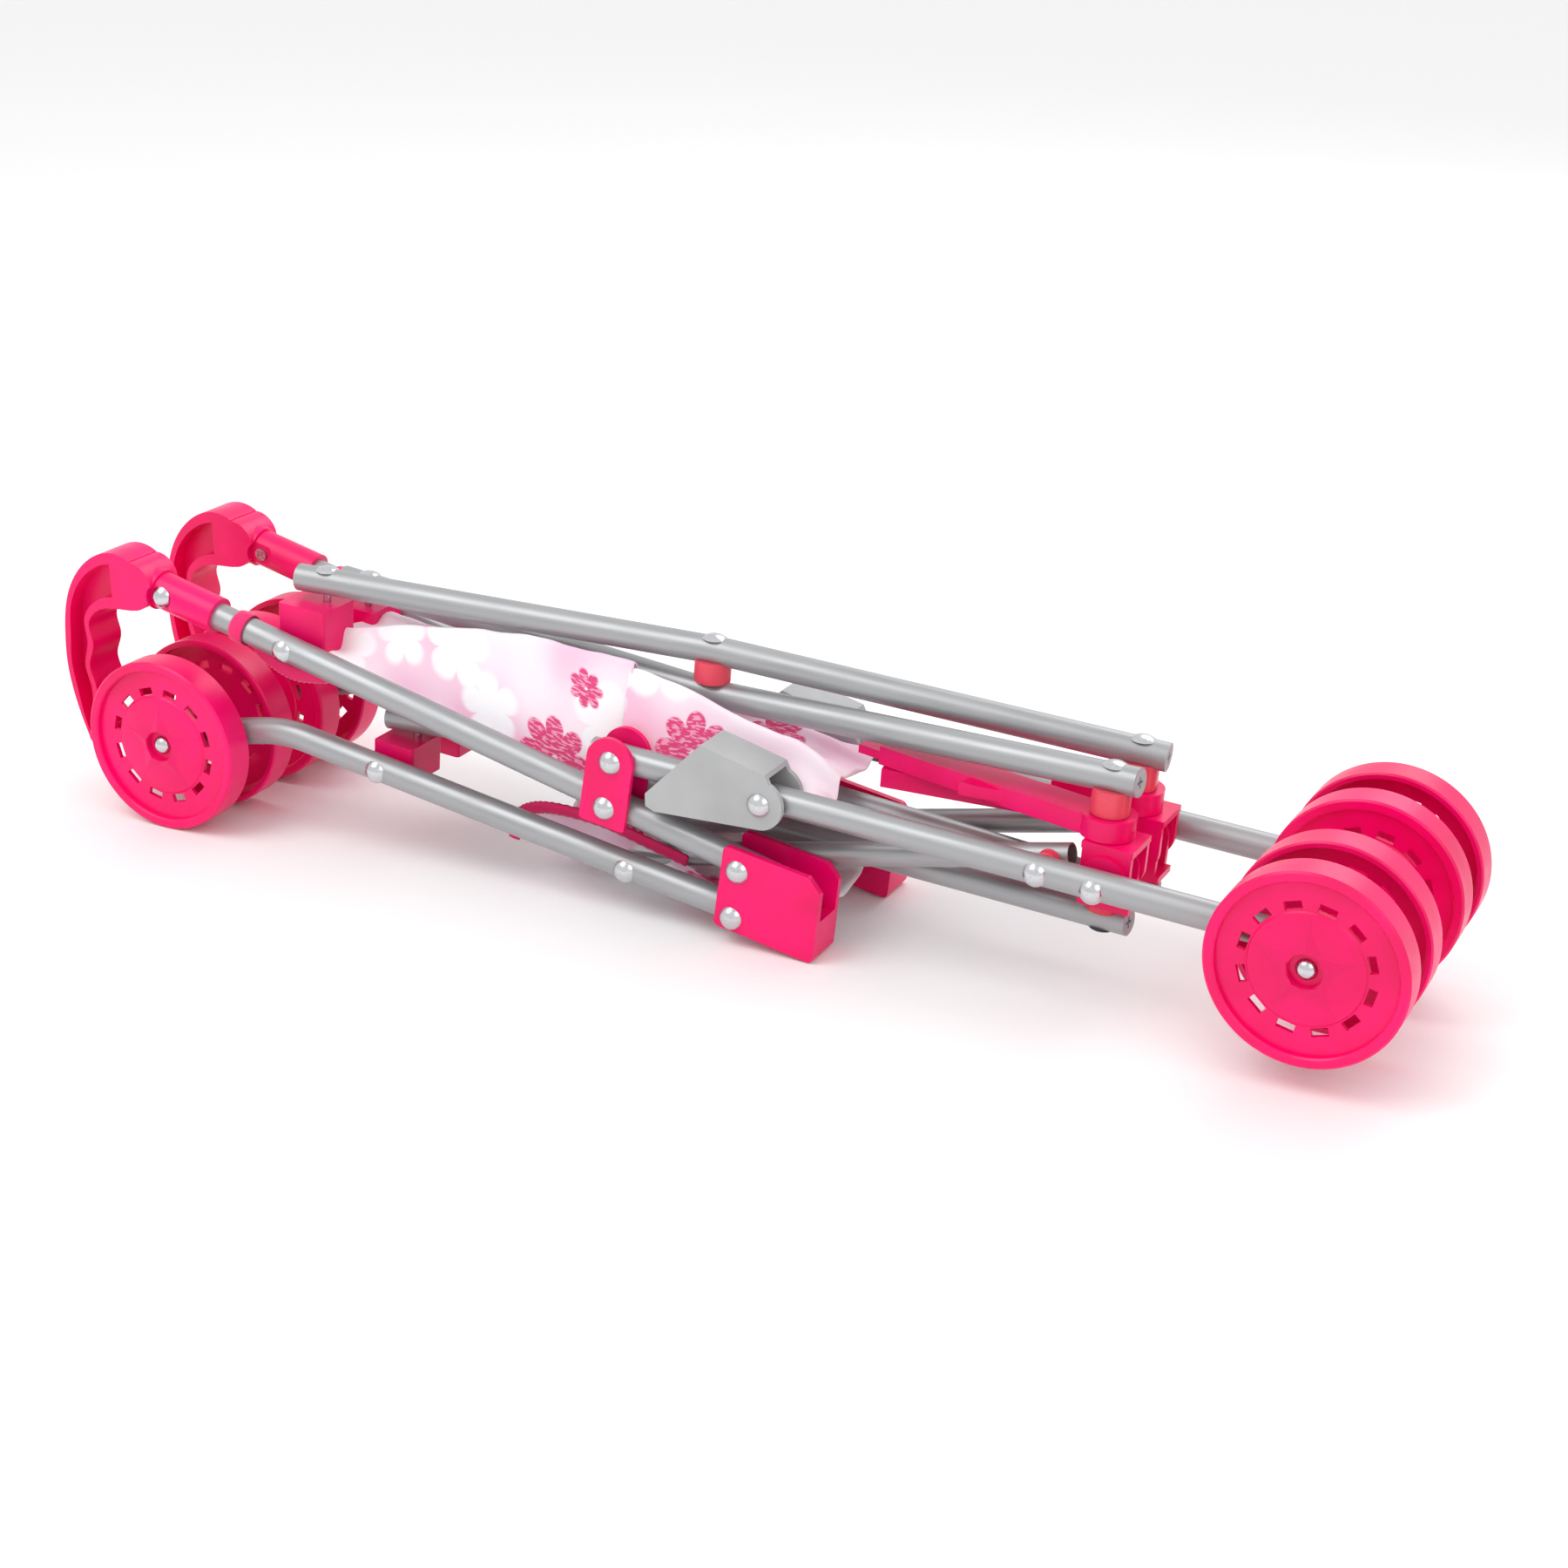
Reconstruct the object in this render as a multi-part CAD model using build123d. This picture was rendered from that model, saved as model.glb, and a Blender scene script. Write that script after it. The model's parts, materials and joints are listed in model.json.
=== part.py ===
from build123d import *
import math
import os

# Folding doll stroller, modelled as it lies folded on the floor. Millimetres, +X from the handles
# towards the rear wheels, +Y to the far side, +Z up. The two side frames mirror each other about
# y = 0, and four crossing braces join them. Side-frame points are (x, z) pairs in the wheel frame,
# whose z = 0 is the line under all the wheels. The folded stroller stands on its front wheels and
# on the corners of its front brackets, so every piece is tilted by STANCE before it is written.

# ---------------------------------------------------------------- driving dimensions
TUBE_R = 6.5                 # side tubes and upper braces
BRACE_R = 6.0                # lower braces
SEAT_R = 5.5                 # seat tubes
TUBE_WALL = 0.8
SIDE_Y = 39.5                # plane of the side tubes, from the middle
SEAT_Y = 21.5                # plane of the seat tubes
PIN_Y = 17.0                 # brace pins, from the middle
WHEEL_R = 42.5
WHEELBASE_HALF = 285.1
SHANK_R = 2.0                # rivet shanks
HOLE_R = 2.05                # running clearance on a shank
DOME_R = 5.5
DOME_H = 3.2
FLAT_HEAD_R = 5.75           # broad low heads on the braces
FLAT_HEAD_H = 2.0
PLATE = 2.5                  # flat plastic plates
GAP = 0.4                    # between plates that turn on each other

HANDLE_RIVET = (-220.8, 94.9)        # handle block turns here
MAIN_PIVOT = (23.3, 29.5)            # front leg turns on the handle tube
BRACKET_RIVET = (19.8, 6.5)
LINK_LOW = (-45.0, 47.3)
LINK_TOP = (-41.0, 69.8)             # rear leg turns on the handle tube
LEG_RIVET = (-171.6, 42.3)           # lower-left block turns here
SEAT_FRONT = (-37.2, 16.7)           # seat tube meets the front leg
SEAT_REAR = (161.9, 52.7)            # seat tube turns on the rear leg
YOKE_RIVET = (187.2, 49.5)           # corner yokes turn here
LATCH_RIVET = (34.6, 63.4)
FRONT_AXLE = (-WHEELBASE_HALF, WHEEL_R)
REAR_AXLE = (WHEELBASE_HALF, WHEEL_R)
BRACKET_CORNER = (60.3, -7.6)        # lowest corner, which touches the floor

UPPER_LEFT = (-212.0, 122.8)         # upper brace pins, at the tubes' middle
UPPER_RIGHT = (185.4, 90.6)
UPPER_MID_X = -13.0
UPPER_MID_Z = (112.6, 91.3)          # brace on top, brace below
UPPER_DROP = (0.0, 12.0)             # how far each brace's left end sits down its pin
LOWER_LEFT = (-164.8, 60.0)
LOWER_RIGHT = (183.0, 26.8)
LOWER_MID_X = 13.0
LOWER_MID_Z = (55.0, 32.0)
ARM_LENGTH = 103.6                   # spreader arm, pin to elbow

STANCE = math.degrees(math.atan2(-BRACKET_CORNER[1], BRACKET_CORNER[0] + WHEELBASE_HALF))
SHIFT_X = 10.6                       # puts the origin at the middle of the length


# ---------------------------------------------------------------- shared shapes
def place():
    """Location that tilts the wheel frame onto the floor and centres it."""
    axle = (FRONT_AXLE[0], 0, FRONT_AXLE[1])
    back = (-FRONT_AXLE[0], 0, -FRONT_AXLE[1])
    return Pos(SHIFT_X, 0, 0) * Pos(*axle) * Rot(0, -STANCE, 0) * Pos(*back)


def write(name, *solids):
    placed = [place() * solid for shape in solids for solid in shape.solids()]
    export_step(placed[0] if len(placed) == 1 else Compound(placed), f"parts/{name}.step")


def joined(shapes):
    return Compound([solid for shape in shapes for solid in shape.solids()])


def toward(a, b, reach):
    """Point on the line from a to b, reach beyond b (or short of it when negative)."""
    length = math.dist(a, b)
    return (b[0] + (b[0] - a[0]) * reach / length, b[1] + (b[1] - a[1]) * reach / length)


def slab(outline, inner, outer):
    """Face drawn in (x, z), as a plate between two distances from the middle, near side."""
    return extrude(Plane.XZ.offset(inner) * outline, outer - inner)


def rod(point, inner, outer, radius):
    return slab(Pos(point[0], point[1]) * Circle(radius), inner, outer)


def solid_tube(path, start, toward_point, radius, wall=TUBE_WALL):
    """Round tube swept along a path."""
    direction = Vector(*toward_point) - Vector(*start)
    end_plane = Plane(origin=start, z_dir=direction)
    return sweep(end_plane * (Circle(radius) - Circle(radius - wall)), path=path)


def straight_tube(a, b, y, radius=TUBE_R):
    start, end = (a[0], y, a[1]), (b[0], y, b[1])
    return solid_tube(Line(start, end), start, end, radius)


def straight_rod(a, b, y, radius):
    start = (a[0], -y, a[1])
    axis = Vector(b[0], -y, b[1]) - Vector(*start)
    return extrude(Plane(origin=start, z_dir=axis) * Circle(radius), axis.length)


def dome(origin, normal, radius=DOME_R, height=DOME_H):
    """Low round rivet head, its flat side at origin."""
    bulge = (radius * radius + height * height) / (2 * height)
    shift = height - bulge
    head = Pos(0, 0, shift) * Sphere(bulge) & Pos(0, 0, height / 2) * Box(4 * radius, 4 * radius, height)
    return Plane(origin=origin, z_dir=normal) * head


def side_rivet(point, inner, outer):
    """Near-side rivet along Y with a domed head outside and a small formed end inside."""
    shank = rod(point, inner, outer, SHANK_R)
    head = dome((point[0], -outer, point[1]), (0, -1, 0))
    tail = rod(point, inner - 1.2, inner, SHANK_R + 1.2)
    return shank + head + tail


def far(shape):
    return mirror(shape, about=Plane.XZ)


def write_pair(name, *near_solids):
    write(f"{name}_near", *near_solids)
    write(f"{name}_far", *[far(solid) for solid in near_solids])


# ---------------------------------------------------------------- side tubes
TUBE_IN = SIDE_Y - TUBE_R
TUBE_OUT = SIDE_Y + TUBE_R
HEAD_SINK = 0.8              # a head's flat side sits this far into the round tube


def handle_tube():
    tube = straight_tube(toward(MAIN_PIVOT, HANDLE_RIVET, 83), toward(HANDLE_RIVET, MAIN_PIVOT, 14.5), -SIDE_Y)
    return tube - rod(MAIN_PIVOT, TUBE_IN - 1, TUBE_OUT + 1, HOLE_R)


def front_leg():
    upper_end = toward(LEG_RIVET, BRACKET_RIVET, 15)
    bend = toward(BRACKET_RIVET, LEG_RIVET, 56)
    wheel_end = toward(bend, FRONT_AXLE, 9)
    points = [(p[0], -SIDE_Y, p[1]) for p in (upper_end, bend, wheel_end)]
    tube = solid_tube(FilletPolyline(*points, radius=70), points[0], points[1], TUBE_R)
    return tube - rod(FRONT_AXLE, TUBE_IN - 1, TUBE_OUT + 1, AXLE_R + 0.05)


def rear_leg():
    tube = straight_tube(toward(REAR_AXLE, LINK_TOP, 13), toward(LINK_TOP, REAR_AXLE, 9), -SIDE_Y)
    tube -= rod(LINK_TOP, TUBE_IN - 1, TUBE_OUT + 1, HOLE_R)
    return tube - rod(REAR_AXLE, TUBE_IN - 1, TUBE_OUT + 1, AXLE_R + 0.05)


def seat_tube():
    tube = straight_tube(toward(SEAT_REAR, SEAT_FRONT, 8), toward(SEAT_FRONT, SEAT_REAR, 8), -SEAT_Y, SEAT_R)
    return tube - rod(SEAT_REAR, SEAT_Y - SEAT_R - 1, SEAT_Y + SEAT_R + 1, HOLE_R)


# ---------------------------------------------------------------- grips
GRIP_HALF = 10.5
SOCKET_R = 9.0


# Outer and inner edge of the hook at the same station, from the socket round to the tip.
GRIP_STATIONS = [((-304, 129.5), (-304, 105)), ((-316, 132.5), (-316, 104.5)), ((-333, 124), (-325, 102.5)),
                 ((-345.5, 103), (-332.5, 94)), ((-348, 88), (-331, 84)), ((-348.6, 73), (-334.5, 73)),
                 ((-347, 60), (-331.8, 62)), ((-344, 48), (-333.5, 50)), ((-339.5, 35), (-330.5, 36))]
WEB = 1.6                    # half thickness of the hook's web, between its rims
SHOULDER_R = 12.0            # rounded end where the hook meets the socket
SOCKET_MOUTH, SOCKET_END = 41, 86        # along the handle tube, beyond its rivet
TUBE_IN_SOCKET = 42.5
GRIP_RIVET = 70
RECESS_R = 6.6


def grip_face(edge_share, first=0):
    """Hook outline, pulled in from both edges by a share of its local width."""
    def between(pair, share):
        (x0, z0), (x1, z1) = pair
        return (x0 + (x1 - x0) * share, z0 + (z1 - z0) * share)
    stations = GRIP_STATIONS[first:]
    outer = [between(pair, edge_share) for pair in stations]
    inner = [between(pair, 1 - edge_share) for pair in reversed(stations)]
    return make_face(Spline(*outer) + Line(outer[-1], inner[0]) + Spline(*inner) + Line(inner[-1], outer[0]))


def grip():
    body = slab(grip_face(0.0), SIDE_Y - GRIP_HALF, SIDE_Y + GRIP_HALF)
    shoulder_at = toward(MAIN_PIVOT, HANDLE_RIVET, SOCKET_END)
    body += rod(shoulder_at, SIDE_Y - GRIP_HALF, SIDE_Y + GRIP_HALF, SHOULDER_R)
    neck_at = toward(MAIN_PIVOT, HANDLE_RIVET, SOCKET_END - 11)
    body += straight_rod(neck_at, shoulder_at, SIDE_Y, GRIP_HALF - 0.3)
    tip = GRIP_STATIONS[-1]
    tip_middle = ((tip[0][0] + tip[1][0]) / 2, (tip[0][1] + tip[1][1]) / 2)
    body += rod(tip_middle, SIDE_Y - GRIP_HALF, SIDE_Y + GRIP_HALF, math.dist(*tip) / 2)
    pocket = grip_face(0.2, first=1)
    for inner, outer in ((0, SIDE_Y - WEB), (SIDE_Y + WEB, SIDE_Y + 20)):
        body -= slab(pocket, inner, outer)
    mouth = toward(MAIN_PIVOT, HANDLE_RIVET, SOCKET_MOUTH)
    body += straight_rod(mouth, toward(MAIN_PIVOT, HANDLE_RIVET, SOCKET_END), SIDE_Y, SOCKET_R)
    blind_end = toward(MAIN_PIVOT, HANDLE_RIVET, SOCKET_MOUTH + TUBE_IN_SOCKET)
    body -= straight_rod(mouth, blind_end, SIDE_Y, TUBE_R + 0.05)
    boss = toward(MAIN_PIVOT, HANDLE_RIVET, GRIP_RIVET)
    body -= rod(boss, 0, 80, HOLE_R)
    for inner, outer in ((20, SIDE_Y - SOCKET_R + 1.6), (SIDE_Y + SOCKET_R - 1.6, 60)):
        body -= rod(boss, inner, outer, RECESS_R)
    return body


# ---------------------------------------------------------------- plastic plates and brackets
BRACKET_IN, BRACKET_OUT, BRACKET_WALL = 28.5, 50.0, 3.0


def bracket_outline():
    corners = Polyline((17.3, 41.5), (59.1, 33.5), (64.6, 26.5), BRACKET_CORNER, (11.1, 2.3), (17.3, 41.5))
    return fillet(make_face(corners).vertices(), 2.5)


def front_bracket():
    """U-shaped elbow: two walls joined by a web under the tubes and up the lower right edge."""
    body = slab(bracket_outline(), BRACKET_IN, BRACKET_OUT)
    inner = ((0, 60), (90, 60), (90, 12), (57.5, 12), (57, -3.6), (12, 4.2), (0, 7), (0, 60))
    channel = make_face(Polyline(*inner))
    body -= slab(channel, BRACKET_IN + BRACKET_WALL, BRACKET_OUT - BRACKET_WALL)
    for point in (MAIN_PIVOT, BRACKET_RIVET):
        body -= rod(point, 20, 60, HOLE_R)
    relief = toward(LEG_RIVET, BRACKET_RIVET, 15.6)
    leg_room = straight_rod(toward(BRACKET_RIVET, LEG_RIVET, -120), relief, SIDE_Y, TUBE_R + 0.3)
    return body - leg_room


LINK_R, LINK_END = 11.8, 8.5


def link_plate_outline():
    """Pill-shaped plate, square at its lower end."""
    lean = math.degrees(math.atan2(LINK_TOP[0] - LINK_LOW[0], LINK_TOP[1] - LINK_LOW[1]))
    top = Pos(*LINK_TOP) * Circle(LINK_R)
    length = math.dist(LINK_LOW, LINK_TOP)
    height = length + LINK_END
    straight = Pos(0, -height / 2) * RectangleRounded(2 * LINK_R, height, 2)
    return top + Pos(*LINK_TOP) * Rot(0, 0, -lean) * straight


def link_plates():
    plates = []
    for inner in (TUBE_IN - PLATE, TUBE_OUT):
        plate = slab(link_plate_outline(), inner, inner + PLATE)
        for point in (LINK_LOW, LINK_TOP):
            plate -= rod(point, 20, 60, HOLE_R)
        plates.append(plate)
    return plates


LATCH_IN, LATCH_OUT, LATCH_WALL = 28.5, 50.2, 2.6


def latch():
    """Channel over the rear leg with one long slanted end, open below and at both ends."""
    edge = Polyline((-22, 53.4), (-22, 59.3), (6.5, 86.9), (37.9, 78), (46.2, 60.5), (34.4, 51.9),
                    (-17.7, 51.4), (-22, 53.4))
    outline = make_face(edge) + Pos(*LATCH_RIVET) * Circle(11.5)
    body = slab(outline, LATCH_IN, LATCH_OUT)
    channel = make_face(Polyline((-40, 40), (-40, 58), (4.5, 81.5), (7, 84.2), (36, 76), (60, 76), (60, 40),
                                 (-40, 40)))
    body -= slab(channel, LATCH_IN + LATCH_WALL, LATCH_OUT - LATCH_WALL)
    slant = make_face(Polyline((-40, 50), (-30, 70), (4.2, 88.5), (5.6, 80), (-40, 50)))
    body -= slab(slant, LATCH_IN + LATCH_WALL, LATCH_OUT - LATCH_WALL)
    return body - rod(LATCH_RIVET, 20, 60, HOLE_R)


# ---------------------------------------------------------------- wheels
AXLE_R = 2.5
FRONT_GAP = (27.0, 47.4)     # inner faces of the two front discs, from the middle
REAR_GAP = (32.7, 50.6)
SLOTS = 12


def disc(point, face_at, outward):
    """One wheel disc. face_at is its inner face's distance from the middle; outward is 1 or -1."""
    rim = [(AXLE_R + 0.05, 0), (7.5, 0), (7.5, 10.4), (24.0, 10.4), (37.0, 10.6), (39.8, 8.6), (39.8, 0),
           (41.7, 0), (42.5, 0.8), (42.5, 14.5), (41.6, 15.4), (38.4, 15.4), (37.7, 14.7), (37.5, 12.7),
           (24.8, 12.7), (24.2, 13.3)]
    dome_arc = ThreePointArc((24.2, 13.3), (16, 14.5), (7.4, 15.0))
    centre = [(7.4, 15.0), (7.2, 12.6), (AXLE_R + 0.05, 12.6), (AXLE_R + 0.05, 0)]
    face = make_face(Polyline(*rim) + dome_arc + Polyline(*centre))
    wheel = revolve(Plane.XZ * face, Axis.Z)
    slot = Pos(27.2, 0, 8) * Box(3.8, 7.6, 16, align=(Align.CENTER, Align.CENTER, Align.MIN))
    wheel -= [Rot(0, 0, (k + 0.5) * 360 / SLOTS) * slot for k in range(SLOTS)]
    origin = (point[0], -face_at, point[1])
    return Plane(origin=origin, x_dir=(1, 0, 0), z_dir=(0, -outward, 0)) * wheel


def wheel_pair(point, gap):
    return disc(point, gap[0], -1), disc(point, gap[1], 1)


def axle(point, gap):
    """Pin with a domed head in each disc's centre recess."""
    inner, outer = gap[0] - 12.7, gap[1] + 12.7
    pin = rod(point, inner, outer, AXLE_R)
    pin += dome((point[0], -outer, point[1]), (0, -1, 0), 4.7, 3.2)
    return pin + dome((point[0], -inner, point[1]), (0, 1, 0), 4.7, 3.2)


# ---------------------------------------------------------------- blocks and yokes under the braces
def brace_frame(pivot, left, right):
    """Plane at a pivot: local x along the folded braces, local y to the far side, local z up."""
    direction = Vector(right[0] - left[0], 0, right[1] - left[1])
    return Plane(origin=(pivot[0], 0, pivot[1]), x_dir=direction, z_dir=direction.cross(Vector(0, 1, 0)))


def local(frame, point):
    return frame.to_local_coords(Vector(point[0], 0, point[1]))


def brick(low, high):
    """Box between two corners."""
    size = [b - a for a, b in zip(low, high)]
    return Pos(*low) * Box(*size, align=(Align.MIN, Align.MIN, Align.MIN))


UPPER = (UPPER_LEFT, UPPER_RIGHT)
LOWER = (LOWER_LEFT, LOWER_RIGHT)
BOSS_R, STUB_R = 10.5, 4.0              # pivot boss of a block, and the stub its brace turns on
BLOCK_OUT = TUBE_IN - GAP
PIN_SHOW = 3.2               # bare pin between a handle block and its brace


def pivot_block(pivot, ends, tube_radius, half_length, below, pin_gap):
    """Block on a side tube's inner face that carries one brace's left pin."""
    frame = brace_frame(pivot, *ends)
    pin = local(frame, ends[0])
    top = pin.Z - tube_radius - pin_gap
    start = -half_length
    stop = pin.X + half_length - 2
    body = brick((start, -BLOCK_OUT, -below), (stop, -7.5, top))
    body = fillet(body.edges().filter_by(Axis.Z), 1.6)
    body -= brick((start + 2.6, -BLOCK_OUT + 8, -below - 1), (stop - 2.6, -10.1, top - 3.5))
    body -= Pos(pin.X, -PIN_Y, 0) * Cylinder(HOLE_R, 80)
    return frame * body - rod(pivot, 0, 60, HOLE_R)


YOKE_TOP = 15.0
LOWER_YOKE_REACH = 15.5
YOKE_HALF = 11.5
RING = 10.0


def yoke(ends, sign, inner, outer, reach, top_radius):
    """U-shaped corner yoke; sign 1 stands above its rivet, -1 hangs below it."""
    frame = brace_frame(YOKE_RIVET, *ends)
    plate_low, plate_high = sorted((sign * (reach - 3.0), sign * reach))
    pin = local(frame, ends[1])
    body = brick((-YOKE_HALF, -outer, plate_low), (YOKE_HALF, -inner, plate_high))
    for low, high in ((inner, inner + 2.6), (outer - 2.8, outer)):
        wall = brick((-top_radius, -high, min(0, sign * reach)), (top_radius, -low, max(0, sign * reach)))
        wall += Pos(0, -(low + high) / 2, 0) * Rot(90, 0, 0) * Cylinder(top_radius, high - low)
        body += wall
    if sign > 0:
        boss = Cylinder(BOSS_R, BLOCK_OUT - outer)
        boss = Pos(0, -(outer + BLOCK_OUT) / 2, 0) * Rot(90, 0, 0) * boss
        stub = Cylinder(STUB_R, RING - 0.3, align=(Align.CENTER, Align.CENTER, Align.MIN))
        stub = Pos(pin.X, -PIN_Y, reach) * stub
        body = body + boss + stub
    return frame * body - rod(YOKE_RIVET, outer - 4, 60, HOLE_R)


def upper_yoke():
    return yoke(UPPER, 1, 7.6, 30.2, YOKE_TOP, 11.0)


def lower_yoke():
    return yoke(LOWER, -1, 10.7, 26.8, LOWER_YOKE_REACH, 9.4)


# ---------------------------------------------------------------- spreader arms
def spreader_arm(side):
    """Channel from the upper yoke's stub to the elbow in the middle. side is -1 near, 1 far."""
    frame = brace_frame(YOKE_RIVET, *UPPER)
    pin = local(frame, UPPER_RIGHT)
    turn = math.degrees(math.asin(PIN_Y / ARM_LENGTH))
    low = YOKE_TOP + 0.25
    ring = Cylinder(12.0, RING - 0.6, align=(Align.CENTER, Align.CENTER, Align.MIN))
    neck = brick((-34, -8.5, 0), (-6, 8.5, 9.0))
    drop = 0.0 if side < 0 else -9.3
    beam = brick((-ARM_LENGTH - 8, -8.5, drop), (-30, 8.5, drop + 8.6))
    beam -= brick((-ARM_LENGTH - 3.5, -6.2, drop - 1), (-27, 6.2, drop + 6.2))
    shoulder = brick((-36, -8.5, min(drop, 0)), (-28, 8.5, 8.6))
    body = ring + neck + beam + shoulder
    if side < 0:
        wedge = make_face(Polyline((-66, -8), (-66, -14.5), (-46, -8), (-66, -8)))
        hook = Pos(0, 0, 1.5) * extrude(wedge, 5.5)
        tongue = brick((-ARM_LENGTH - 20, -7, 1.5), (-ARM_LENGTH - 6, 2, 5.5))
        body += hook + tongue
    body -= Cylinder(4.05, 60)
    seat = Pos(pin.X, side * PIN_Y, low) * Rot(0, 0, side * turn)
    return frame * seat * body


# ---------------------------------------------------------------- crossing braces
BRACE_LEFT_END, BRACE_RIGHT_END = 15.0, 12.0     # tube beyond its pins
PLUG_DEPTH = 4.5
BEND_R = 260
HEAD = TUBE_R - HEAD_SINK
LOW_HEAD = BRACE_R - HEAD_SINK
SPACER_SINK = 2.2                                # a spacer's cupped end reaches this far up its tube
UPPER_SPACER_R, LOWER_PAD_R = 8.5, 8.0
HANDLE_SHANK, LEG_SHANK = 19.0, 12.0             # shanks down into the blocks


def brace(ends, middle, radius, left_side, left_drop=0.0):
    """Tube, plugs, frame and pins of one crossing brace. left_side is -1 when it starts near."""
    frame = brace_frame(ends[0], *ends)
    left, right = [(p[0], side * PIN_Y, p[1]) for p, side in zip(ends, (left_side, -left_side))]
    left = tuple(Vector(*left) - frame.z_dir * left_drop)
    run_left = Vector(*left) - Vector(*middle)
    run_right = Vector(*right) - Vector(*middle)
    tips = [Vector(*left) + run_left.normalized() * BRACE_LEFT_END,
            Vector(*right) + run_right.normalized() * BRACE_RIGHT_END]
    start, end = [(tip.X, tip.Y, tip.Z) for tip in tips]
    path = FilletPolyline(start, middle, end, radius=BEND_R)
    tube = solid_tube(path, start, middle, radius)
    plugs = []
    for tip, run in zip(tips, (run_left, run_right)):
        plane = Plane(origin=(tip.X, tip.Y, tip.Z), z_dir=run)
        slots = plane * Pos(0, 0, -1.2) * (Box(5.2, 1.3, 4) + Box(1.3, 5.2, 4))
        plugs.append(extrude(plane * Circle(radius - TUBE_WALL), -PLUG_DEPTH) - slots)
    return tube, plugs, frame, left, right


def brace_rivet(frame, at, head_side, head_reach, tail_reach):
    """Rivet across a brace at a pin; reaches are distances from the tube's middle."""
    up = frame.z_dir * head_side
    base = Vector(*at) + up * head_reach
    seat = (base.X, base.Y, base.Z)
    shank = extrude(Plane(origin=seat, z_dir=up) * Circle(SHANK_R), -(head_reach + tail_reach))
    return shank + dome(seat, up, FLAT_HEAD_R, FLAT_HEAD_H)


def cupped_spacer(frame, at, side, reach, radius, tube, tube_radius):
    """Round spacer on a brace's pin, cupped round the tube, reach from the tube's middle."""
    up = frame.z_dir * side
    base = Vector(*at) + up * (tube_radius - SPACER_SINK)
    length = reach - tube_radius + SPACER_SINK
    round_piece = extrude(Plane(origin=(base.X, base.Y, base.Z), z_dir=up) * Circle(radius), length)
    return (round_piece - tube).solids().sort_by(SortBy.VOLUME)[-1]


def write_brace(name, spacer_name, tube, plugs, rivets, spacers):
    cut = joined(rivets)
    write(name, tube - cut)
    write(f"{name}_plugs", *plugs)
    write(f"{name}_rivets", *rivets)
    write(f"{name}_{spacer_name}", *[piece - cut for piece in spacers])


def write_upper_braces():
    stack = local(brace_frame(YOKE_RIVET, *UPPER), UPPER_RIGHT).Z - YOKE_TOP - RING
    between = UPPER_MID_Z[0] - UPPER_MID_Z[1] - TUBE_R - GAP
    for number, left_side in ((1, -1), (2, 1)):
        middle = (UPPER_MID_X, 0.0, UPPER_MID_Z[number - 1])
        tube, plugs, frame, left, right = brace(UPPER, middle, TUBE_R, left_side, UPPER_DROP[number - 1])
        left_rivet = brace_rivet(frame, left, 1, HEAD, HANDLE_SHANK)
        right_rivet = brace_rivet(frame, right, 1, HEAD, stack - 0.1)
        rivets = [left_rivet, right_rivet]
        spacers = [cupped_spacer(frame, right, -1, stack, UPPER_SPACER_R, tube, TUBE_R)]
        if number == 1:
            rivets.append(brace_rivet(frame, middle, 1, HEAD, between - 0.2))
            spacers.append(cupped_spacer(frame, middle, -1, between, UPPER_SPACER_R, tube, TUBE_R))
        write_brace(f"upper_brace_{number}", "spacers", tube, plugs, rivets, spacers)


def write_lower_braces():
    drop = -local(brace_frame(YOKE_RIVET, *LOWER), LOWER_RIGHT).Z - LOWER_YOKE_REACH - GAP
    between = LOWER_MID_Z[0] - LOWER_MID_Z[1] - BRACE_R - GAP
    for number, left_side in ((1, -1), (2, 1)):
        middle = (LOWER_MID_X, 0.0, LOWER_MID_Z[number - 1])
        tube, plugs, frame, left, right = brace(LOWER, middle, BRACE_R, left_side)
        rivets = [brace_rivet(frame, left, 1, LOW_HEAD, LEG_SHANK),
                  brace_rivet(frame, right, -1, LOW_HEAD, drop - 0.1)]
        pads = [cupped_spacer(frame, right, 1, drop, LOWER_PAD_R, tube, BRACE_R)]
        if number == 1:
            rivets.append(brace_rivet(frame, middle, 1, LOW_HEAD, between - 0.2))
            pads.append(cupped_spacer(frame, middle, -1, between, LOWER_PAD_R, tube, BRACE_R))
        write_brace(f"lower_brace_{number}", "pads", tube, plugs, rivets, pads)


# ---------------------------------------------------------------- fabric sling, as plain closed solids
CLOTH = 2.0


def tent(start, end, half_width, rise, middle_y=0.0):
    """Folded length of cloth: a thin roof-shaped strip from one (x, z) point to another."""
    direction = Vector(end[0] - start[0], 0, end[1] - start[1])
    frame = Plane(origin=(start[0], middle_y, start[1]), x_dir=(0, 1, 0), z_dir=direction)
    sign = 1 if frame.y_dir.Z > 0 else -1
    roof = Polyline((-half_width, 0), (0, sign * rise), (half_width, 0), (half_width, sign * CLOTH),
                    (0, sign * (rise + CLOTH)), (-half_width, sign * CLOTH), (-half_width, 0))
    return extrude(frame * make_face(roof), direction.length)


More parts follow.
